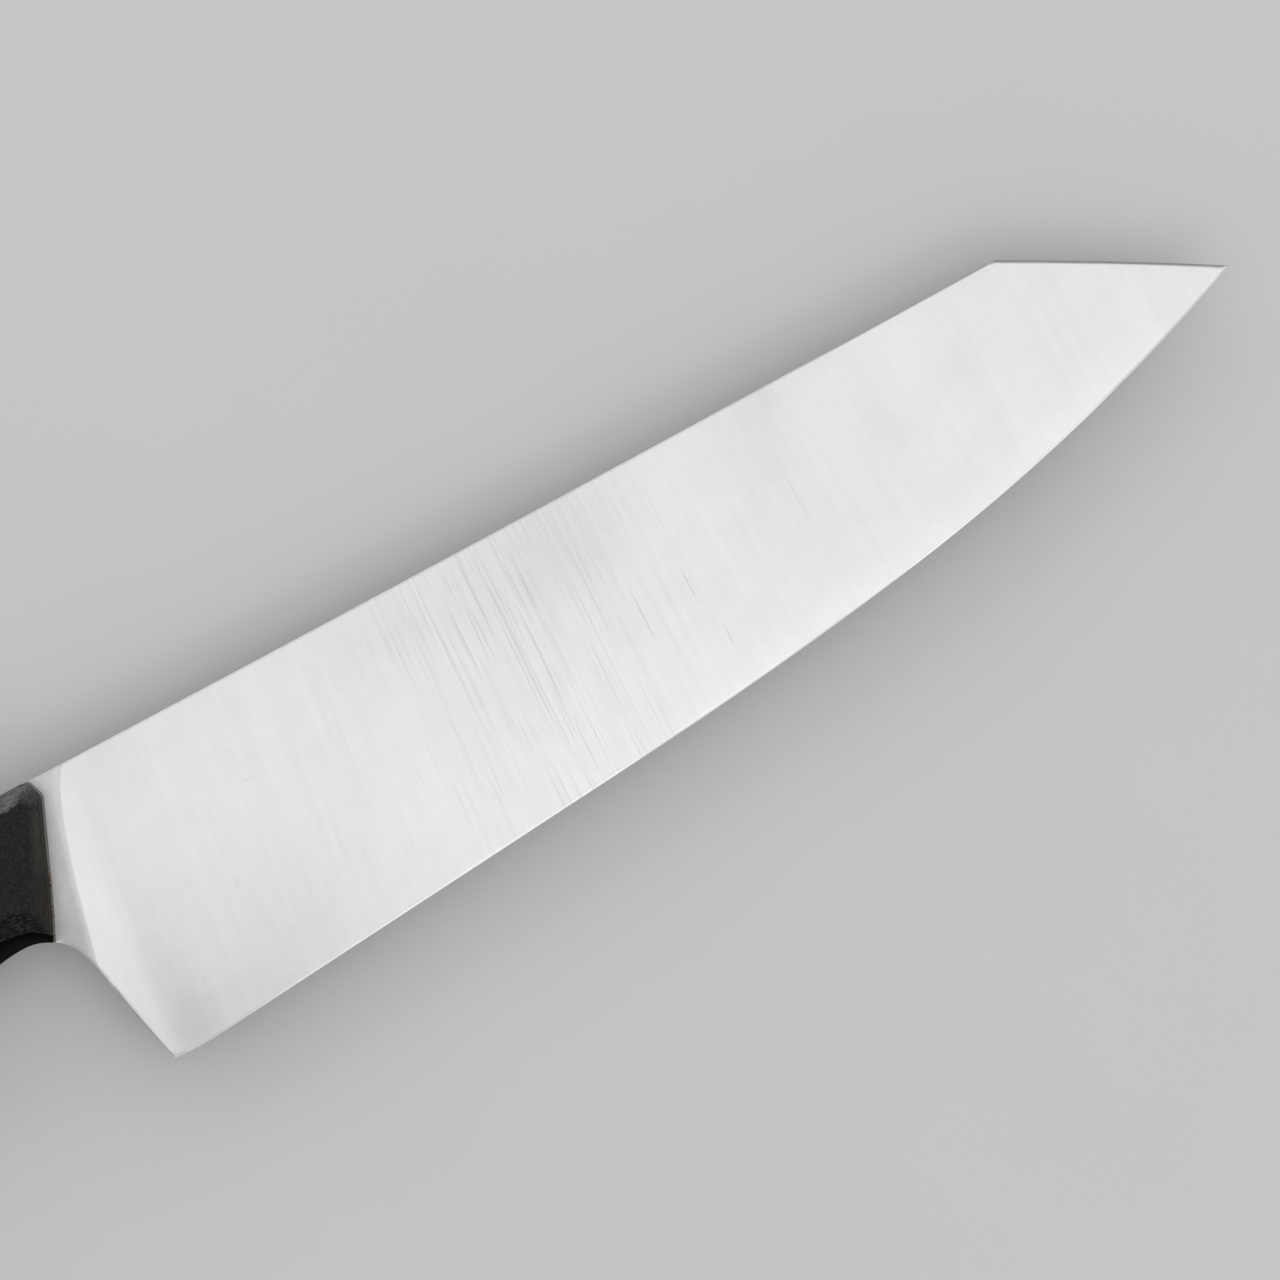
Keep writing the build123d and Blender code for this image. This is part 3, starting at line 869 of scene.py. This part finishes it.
class Finish:
    """A material and short ways to add to it: each call makes a node and returns what comes out of it."""

    def __init__(self, name):
        self.material = bpy.data.materials.new(name)
        self.material.use_nodes = True
        self.tree = self.material.node_tree

    def put(self, socket, value):
        """Links a socket to what comes out of a node, or sets it to a plain value."""
        if isinstance(value, bpy.types.NodeSocket):
            self.tree.links.new(value, socket)
        else:
            socket.default_value = value

    def node(self, kind, out, sockets, **settings):
        """Makes a node with its settings and sockets, and returns one of its outputs."""
        made = self.tree.nodes.new("ShaderNode" + kind)
        for name, value in settings.items():
            setattr(made, name, value)
        for name, value in sockets.items():
            self.put(made.inputs[name], value)
        return made.outputs[out]

    def set(self, **values):
        """Sets or links the shader's sockets, whose names are written with low lines for spaces."""
        shader = self.tree.nodes["Principled BSDF"]
        for name, value in values.items():
            self.put(shader.inputs[name.replace("_", " ")], value)

    def place(self, scale=(1, 1, 1), turn=0, spot=(0, 0, 0), lines=None):
        """Object coordinates, or those of a texture map, measured from a spot, turned and then stretched.

        The turn is in degrees about Z, and the scale is how many units of the pattern a millimetre holds.
        """
        if lines:
            source = self.node("UVMap", "UV", {}, uv_map=lines)
        else:
            source = self.node("TexCoord", "Object", {})
        sockets = {
            "Vector": source,
            "Location": [0.001 * v for v in spot],
            "Rotation": (0, 0, radians(turn)),
            "Scale": [0.001 / s if s else 0.0 for s in scale],
        }
        return self.node("Mapping", "Vector", sockets, vector_type="TEXTURE")

    def noise(self, where, detail=3.0, rough=0.5, twist=0.0):
        """Smooth noise from 0 to 1, with its grains about a unit apart."""
        sockets = {"Vector": where, "Scale": 1.0, "Detail": detail, "Roughness": rough, "Distortion": twist}
        return self.node("TexNoise", "Fac", sockets)

    def cells(self, where, dimensions="3D"):
        """Distance to the nearest of scattered points, one in each unit, and a random colour for each."""
        sockets = {"Vector": where, "Scale": 1.0}
        near = self.node("TexVoronoi", "Distance", sockets, voronoi_dimensions=dimensions)
        return near, near.node.outputs["Color"]

    def kept(self, name):
        """A value kept at the mesh's points."""
        return self.node("Attribute", "Fac", {}, attribute_name=name)

    def apart(self, where, axis):
        """One of a place's three numbers."""
        return self.node("SeparateXYZ", axis, {0: where})

    def math(self, how, first, *others):
        """Arithmetic on two or more values, from left to right."""
        for other in others:
            first = self.node("Math", 0, {0: first, 1: other}, operation=how)
        return first

    def add(self, *values):
        """The sum of several values."""
        return self.math("ADD", *values)

    def times(self, *values):
        """The product of several values."""
        return self.math("MULTIPLY", *values)

    def span(self, value, low, high, start=0.0, end=1.0, smooth=True):
        """Carries a value from one range to another, held at both ends."""
        sockets = {"Value": value, "From Min": low, "From Max": high, "To Min": start, "To Max": end}
        return self.node("MapRange", 0, sockets, interpolation_type="SMOOTHSTEP" if smooth else "LINEAR")

    def tuned(self, noise, start, end, smooth=True):
        """Carries a noise from its usual range to another."""
        return self.span(noise, NOISE_LOW, NOISE_HIGH, start, end, smooth)

    def blend(self, share, a, b):
        """Blends two values: the first at 0, the second at 1."""
        return self.add(self.times(b, share), self.times(a, self.math("SUBTRACT", 1.0, share)))

    def grey(self, value, tint):
        """A colour from one value and a faint tint."""
        return self.node("CombineColor", 0, {k: self.times(value, tint[k]) for k in range(3)})

    def mix(self, share, a, b):
        """Blends two colours, plain ones or those that come out of a node."""
        a, b = ((*c, 1.0) if isinstance(c, tuple) else c for c in (a, b))
        return self.node("Mix", 2, {0: share, 6: a, 7: b}, data_type="RGBA")

    def bump(self, height, depth_mm, strength):
        """A bumpy surface whose height runs from 0 to the given depth."""
        return self.node("Bump", 0, {"Strength": strength, "Distance": depth_mm * 0.001, "Height": height})


def row(spot):
    """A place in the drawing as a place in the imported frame, in millimetres."""
    return tuple(np.asarray(spot, float) + DATUM[:len(spot)])


def satin_steel():
    """Ground steel: short fine dark and bright lines along the grind, single scratches, a plainer ricasso."""
    f = Finish("satin_steel")
    ground, tone_and_painted_light, lined = (f.kept(name) for name in ("ground", "tone_and_painted_light", "lined"))

    def stretched(across, length, seed):
        """Places stretched along the grinding lines: units in a millimetre across, a unit's length along."""
        return f.place((across, 1 / length, 1), spot=(seed, 3 * seed, 0), lines=GRINDING_LINES)

    def lines(across, length, seed):
        """Soft lines side by side, of uneven strength."""
        return f.noise(stretched(across, length, seed), detail=2, rough=0.6)

    def marks(across, length, width, seed, few, many):
        """Single lines of a half width in millimetres, more of them where the steel is more lined."""
        spot, kind = f.cells(stretched(across, length, seed), "2D")
        kept = f.math("GREATER_THAN", f.apart(kind, 0), f.span(lined, 0.15, 1.0, few, many))
        strength = f.times(f.span(f.apart(kind, 1), 0, 1, 0.35, 1.0), kept)
        return f.times(f.span(spot, 0.3 * width * across, width * across, 1.0, 0.0), strength)

    fine, soft, broad = lines(2.6, 20, 0), lines(0.85, 30, 300), lines(0.24, 34, 450)
    patchy = f.noise(f.place((0.13, 0.09, 0.1), spot=(5, 9, 0)), detail=1)
    cloud = f.noise(f.place((0.13, 0.17, 0.1), spot=(20, 10, 0)), detail=5, rough=0.62, twist=0.3)
    long_ones, short_ones = marks(1.6, 90, 0.12, 100, 0.80, 0.30), marks(2.0, 52, 0.125, 200, 0.85, 0.25)
    dark = f.math("MAXIMUM", long_ones, short_ones, marks(2.4, 26, 0.12, 500, 0.90, 0.50))
    bright = marks(1.8, 60, 0.13, 800, 0.80, 0.40)
    uneven = f.span(patchy, 0.36, 0.62, 0.45, 1.2)
    value = f.times(f.add(f.times(dark, -0.150), f.times(bright, 0.070)), uneven)
    value = f.times(f.add(value, f.tuned(fine, -0.030, 0.030, False)), lined)
    value = f.add(value, f.tuned(soft, -0.017, 0.017, False), f.tuned(broad, -0.020, 0.020, False))
    value = f.add(value, f.span(cloud, 0.32, 0.68, 0.014, -0.014))
    for spot, reach, turn, width, depth in SCRATCHES:
        value = f.add(value, f.times(scratch(f, spot, reach, turn, width), -depth))
    # The kept brightness adds painted reflection, shade and highlights to the ground steel and to the ricasso
    # below
    steel = f.times(f.add(1.0, value, tone_and_painted_light), 0.735)

    flat_lines = f.noise(f.place((0.30, 3.0, 1.0), turn=3), detail=3, rough=0.6)
    flat_cloud = f.noise(f.place((0.35, 0.35, 0.35)), detail=4, rough=0.6)
    nick, kind = f.cells(f.place((0.45, 2.6, 1.0), turn=9, spot=(3, 1, 0)), "2D")
    nicks = f.times(f.span(nick, 0.06, 0.2, 1.0, 0.0), f.math("GREATER_THAN", f.apart(kind, 0), 0.74))
    flat = f.add(f.tuned(flat_lines, -0.035, 0.035), f.tuned(flat_cloud, -0.03, 0.03), f.times(nicks, -0.10))
    flat_steel = f.times(f.add(1.0, flat, tone_and_painted_light), 0.560)

    rough = f.add(f.tuned(broad, 0.29, 0.33), f.times(dark, lined, 0.05), f.span(ground, 0, 1, 0.05, 0.0))
    height = f.blend(ground, flat_lines, f.add(fine, f.times(dark, lined, -0.5)))
    f.set(
        Base_Color=f.grey(f.blend(ground, flat_steel, steel), (1.0, 0.998, 0.992)),
        Metallic=1.0,
        Roughness=rough,
        Anisotropic=0.5,
        Tangent=f.node("Tangent", 0, {}, direction_type="UV_MAP", uv_map=GRINDING_LINES),
        Normal=f.bump(height, 0.003, 0.5),
    )
    return f.material


def scratch(finish, spot, reach, turn, width):
    """A single thin scratch of the given half length and half width, 1 along its middle."""
    where = finish.place((1 / reach, 1 / width, 0), turn=turn, spot=(*row(spot), 0))
    away = finish.node("VectorMath", "Value", {0: where}, operation="LENGTH")
    return finish.span(away, 0.3, 1.0, 1.0, 0.0)


def canvas_laminate():
    """Black cloth laminate, sanded: speckled sides, a scuffed top painted lighter, partly real wear and
    partly painted light, a brownish front, and lower facets painted darker as painted shade, the underside
    one near black.
    """
    f = Finish("black_canvas_laminate")

    # Where each look holds, with ragged borders
    ragged = f.noise(f.place((0.9, 2.2, 2.6), turn=20, spot=(4, 4, 4)), detail=5, rough=0.68)
    rag = f.span(ragged, 0.25, 0.75, -0.75, 0.75, smooth=False)
    at_front, at_under = f.kept("front"), f.kept("under")
    beside_corner = f.span(at_front, -3.0, -1.2)
    # Mask of the worn top facets, which are painted lighter, partly for wear and partly as painted light
    worn_and_lit = f.span(f.add(f.kept("top"), f.times(beside_corner, -0.35), rag), -0.15, 0.25)
    front = f.span(f.add(at_front, f.times(rag, 0.7)), -0.3, 1.1)
    # Mask of the lower facets, which carry painted shade
    lower_facets_shaded = f.span(f.add(f.kept("lower"), f.times(rag, 0.6)), -0.15, 0.20)
    # Mask of the underside facet, painted near black as painted shade
    under = f.span(at_under, -0.1, 0.25)
    depth = f.span(f.apart(f.place(), 1), row((0, -23))[1], row((0, 0))[1], 23, 0, smooth=False)

    # Cloth and sanding marks
    speckle = f.noise(f.place((2.3, 2.3, 2.3), spot=(3, 3, 3)), detail=4, rough=0.7)
    mottle = f.noise(f.place((0.75, 0.75, 0.75), spot=(3, 3, 3)), detail=5, rough=0.68)
    warp = f.noise(f.place((2.4, 0.55, 2.4), turn=40), detail=2)
    weft = f.noise(f.place((0.55, 2.4, 2.4), turn=40, spot=(5, 1, 2)), detail=2)
    weave = f.math("MAXIMUM", f.span(warp, 0.50, 0.72), f.span(weft, 0.50, 0.72))
    spot, kind = f.cells(f.place((1.7, 1.7, 1.7)))
    fleck = f.span(spot, 0.12, 0.36, 1.0, 0.0)
    flecks = f.times(fleck, f.math("GREATER_THAN", f.apart(kind, 0), 0.62))
    streak = f.noise(f.place((0.50, 3.3, 3.3), turn=12), detail=5, rough=0.68)
    front_streak = f.noise(f.place((2.9, 0.45, 2.9), turn=-16), detail=4, rough=0.65)
    diagonal = f.noise(f.place((0.80, 3.3, 3.3), turn=8, spot=(2, 6, 1)), detail=4, rough=0.65)
    near = f.times(f.span(at_front, 1.5, 2.7), f.span(depth, 13, 21))
    rarity = f.span(near, 0, 1, 0.97, 0.45, smooth=False)
    rust = f.times(fleck, f.math("GREATER_THAN", f.apart(kind, 1), rarity))

    # Brightness of each look
    side = f.add(f.span(speckle, 0.30, 0.72, 0.0100, 0.0262), f.tuned(mottle, -0.0015, 0.0035))
    side = f.add(side, f.add(f.times(flecks, 0.015), f.times(weave, 0.0045)))
    # The top facets are lighter than the sides: partly real sanded wear, partly painted light from above
    top = f.span(streak, 0.34, 0.66, 0.046, 0.188, smooth=False)
    top = f.add(top, f.span(speckle, 0.35, 0.7, -0.012, 0.02))
    top = f.times(top, f.span(beside_corner, 0, 1, 1.0, 0.44, smooth=False))
    ahead = f.add(f.tuned(front_streak, 0.017, 0.037, False), f.times(flecks, 0.018))
    ahead = f.add(ahead, f.span(depth, 9, 16, 0.017, 0.0))
    ahead = f.add(ahead, f.times(f.span(depth, 2.5, 6, 1, 0), f.span(streak, 0.40, 0.66, 0.0, 0.060)))
    # Painted shade: the lower facets are mostly darker than the sides, with lighter diagonal marks
    low = f.add(f.span(diagonal, 0.46, 0.68, 0.0055, 0.042), f.times(flecks, 0.008))

    brown = f.mix(near, f.grey(ahead, (1.02, 1.0, 0.90)), f.grey(ahead, (1.14, 0.96, 0.85)))
    raw = f.mix(near, (0.0160, 0.0155, 0.0145), (0.022, 0.0165, 0.0135))
    colour = f.mix(front, f.grey(side, (0.99, 1.0, 1.01)), f.mix(rust, brown, (0.060, 0.038, 0.031)))
    colour = f.mix(f.kept("front_edge"), colour, raw)
    colour = f.mix(worn_and_lit, colour, f.grey(top, (1.0, 1.0, 0.99)))
    colour = f.mix(lower_facets_shaded, colour, f.grey(low, (0.97, 0.98, 1.09)))
    # Painted shade: the underside facet is coloured near black
    colour = f.mix(under, colour, f.grey(f.span(at_under, 0.3, 2.2, 0.0035, 0.0095), (1.03, 1.0, 0.95)))
    rough = f.add(0.60, f.tuned(speckle, 0.08, -0.06), f.times(worn_and_lit, 0.12), f.times(under, -0.12))
    height = f.add(f.times(speckle, 0.4), f.times(f.add(mottle, weave), 0.25))
    height = f.add(height, f.times(streak, worn_and_lit, 0.6), f.times(diagonal, lower_facets_shaded, 0.5))
    gloss = f.span(at_under, -0.1, 0.25, 0.06, 0.0)
    f.set(Base_Color=colour, Roughness=rough, Specular_IOR_Level=gloss, Normal=f.bump(height, 0.12, 0.7))
    return f.material


def brown_fibre():
    """Vulcanised fibre sheet: dense brown paper, paler and fuzzier along its sanded outer edge."""
    f = Finish("brown_fibre")
    grain = f.noise(f.place((0.9, 0.9, 7.0)), detail=4, rough=0.6)
    fuzz = f.noise(f.place((2.2, 2.2, 4.0)), detail=4, rough=0.65)
    colour = f.mix(f.tuned(grain, 0.0, 1.0), (0.080, 0.043, 0.026), (0.150, 0.090, 0.055))
    rim = f.add(f.kept("rim"), f.times(f.kept("upper"), -0.4), f.span(fuzz, 0.34, 0.66, -0.22, 0.22))
    colour = f.mix(f.span(rim, 0.18, 0.30, 1.0, 0.0), colour, (0.24, 0.233, 0.215))
    rough = f.tuned(fuzz, 0.55, 0.78)
    f.set(Base_Color=colour, Roughness=rough, Specular_IOR_Level=0.3, Normal=f.bump(fuzz, 0.03, 0.6))
    return f.material


def bolt_steel():
    """Bolt heads sanded flush with the scales: straight fine lines, a few deeper ones."""
    f = Finish("bolt_steel")
    lines = f.noise(f.place((0.16, 5.0, 1.0), turn=7), detail=4, rough=0.65)
    deep = f.noise(f.place((0.12, 2.1, 1.0), turn=-16, spot=(4, 2, 0)), detail=2)
    value = f.add(0.60, f.add(f.tuned(lines, -0.05, 0.05), f.span(deep, 0.62, 0.74, 0.0, -0.10)))
    colour, rough = f.grey(value, (1.0, 0.995, 0.985)), f.tuned(lines, 0.28, 0.40)
    f.set(Base_Color=colour, Metallic=1.0, Roughness=rough, Normal=f.bump(f.add(lines, deep), 0.01, 0.5))
    return f.material


def table_top():
    """The pale table: plain, even and matt."""
    f = Finish("pale_table")
    colour = f.mix(f.noise(f.place((0.02, 0.02, 0.02))), (0.655, 0.655, 0.655), (0.675, 0.675, 0.67))
    f.set(Base_Color=colour, Roughness=0.8, Specular_IOR_Level=0.2)
    return f.material


def own_places(mesh):
    """The mesh's points in the drawing, in millimetres."""
    co = np.empty(len(mesh.vertices) * 3)
    mesh.vertices.foreach_get("co", co)
    return (co.reshape(-1, 3) * 1000 - DATUM).T


def keep(mesh, name, values):
    """Keeps a value at each point of a mesh, for its material."""
    mesh.attributes.new(name, "FLOAT", "POINT").data.foreach_set("value", values.astype(np.float32))


# These masks place the lighter worn top, partly painted light, and the painted shade of the lower and
# underside facets
def keep_facet_masks(mesh, side):
    """Keeps at each point of a scale how far inside its facets it lies, in height, outside as a minus."""
    x, y, _ = own_places(mesh)
    face, heights, _ = facet_heights(x, y, side)
    for name, others in FACETS_OF_EACH_MASK.items():
        least = np.min([heights[k] for k in others], axis=0)
        rest = np.min([heights[k] for k in heights if k not in others] + [face], axis=0)
        keep(mesh, name, np.clip(rest - least, -3, 3))
    keep(mesh, "front_edge", 1 - ramp(front_inset(x, y), 0.01, 0.14))


# Scene

CAMERA_HEIGHT = 1.2
SENSOR_WIDTH = 36
VIEW_WIDTH = 0.2065
VIEW_TURN = -28.35


def lamp(name, place, size, radiance, target=(0, 0, 0)):
    """A soft box of a given brightness, turned to a place, which the camera doesn't see."""
    light = bpy.data.lights.new(name, "AREA")
    light.shape = "RECTANGLE"
    light.size, light.size_y = size
    light.energy = radiance * np.pi * size[0] * size[1]
    made = bpy.data.objects.new(name, light)
    bpy.context.scene.collection.objects.link(made)
    made.location = place
    made.rotation_euler = (Vector(target) - Vector(place)).to_track_quat("-Z", "Y").to_euler()
    made.visible_camera = False
    return made


def make_stage():
    """Table, soft light, and the camera above the blade, turned so that the spine climbs to the right."""
    bpy.ops.mesh.primitive_plane_add(size=6, location=(0, 0, -0.0002))
    table = bpy.context.object
    table.name = "table"
    table.data.materials.append(table_top())
    world = bpy.data.worlds.new("studio")
    bpy.context.scene.world = world
    world.use_nodes = True
    background = world.node_tree.nodes["Background"]
    background.inputs["Color"].default_value = (1, 1, 1, 1)
    background.inputs["Strength"].default_value = 0.65
    centre = np.array([*row((97.7, -26.8)), 10.0]) * 0.001
    lamp("overhead", (0.15, -0.10, 0.80), (0.75, 0.35), 0.60, (0.15, -0.10, 0))
    lamp("over_edge", (0.10, -0.50, 0.75), (0.90, 0.25), 0.90, (0.10, -0.05, 0))
    lamp("from_spine_side", (0.0, 0.75, 0.30), (1.6, 0.58), 0.70)
    camera = bpy.data.cameras.new("camera")
    made = bpy.data.objects.new("camera", camera)
    bpy.context.scene.collection.objects.link(made)
    camera.sensor_width = SENSOR_WIDTH
    camera.lens = SENSOR_WIDTH * CAMERA_HEIGHT / VIEW_WIDTH
    camera.clip_start, camera.clip_end = 0.05, 20
    made.location = (centre[0], centre[1], centre[2] + CAMERA_HEIGHT)
    made.rotation_euler = (0, 0, radians(VIEW_TURN))
    bpy.context.scene.camera = made
    bpy.context.scene.view_settings.view_transform = "Standard"


def main():
    """Makes every piece, gives each its material and stands it for its solid."""
    steel = make_steel()
    steel.data.materials.append(satin_steel())
    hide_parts("blade")
    laminate, fibre, bolt = canvas_laminate(), brown_fibre(), bolt_steel()
    for node, made in make_handle().items():
        made.data.materials.append(laminate if "scale" in node else fibre)
        if "scale" in node:
            keep_facet_masks(made.data, 1 if "right" in node else -1)
        else:
            x, y, _ = own_places(made.data)
            inset = np.minimum(front_inset(x, y), corner_inset(x, y))
            keep(made.data, "rim", np.clip(inset + LINER_SHOWS / np.hypot(1, FRONT_LEAN), 0, 1))
            keep(made.data, "upper", 1 - ramp(-y, 9, 17))
        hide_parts(node)
    for node, made in make_bolts().items():
        made.data.materials.append(bolt)
        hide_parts(node)
    make_stage()


main()
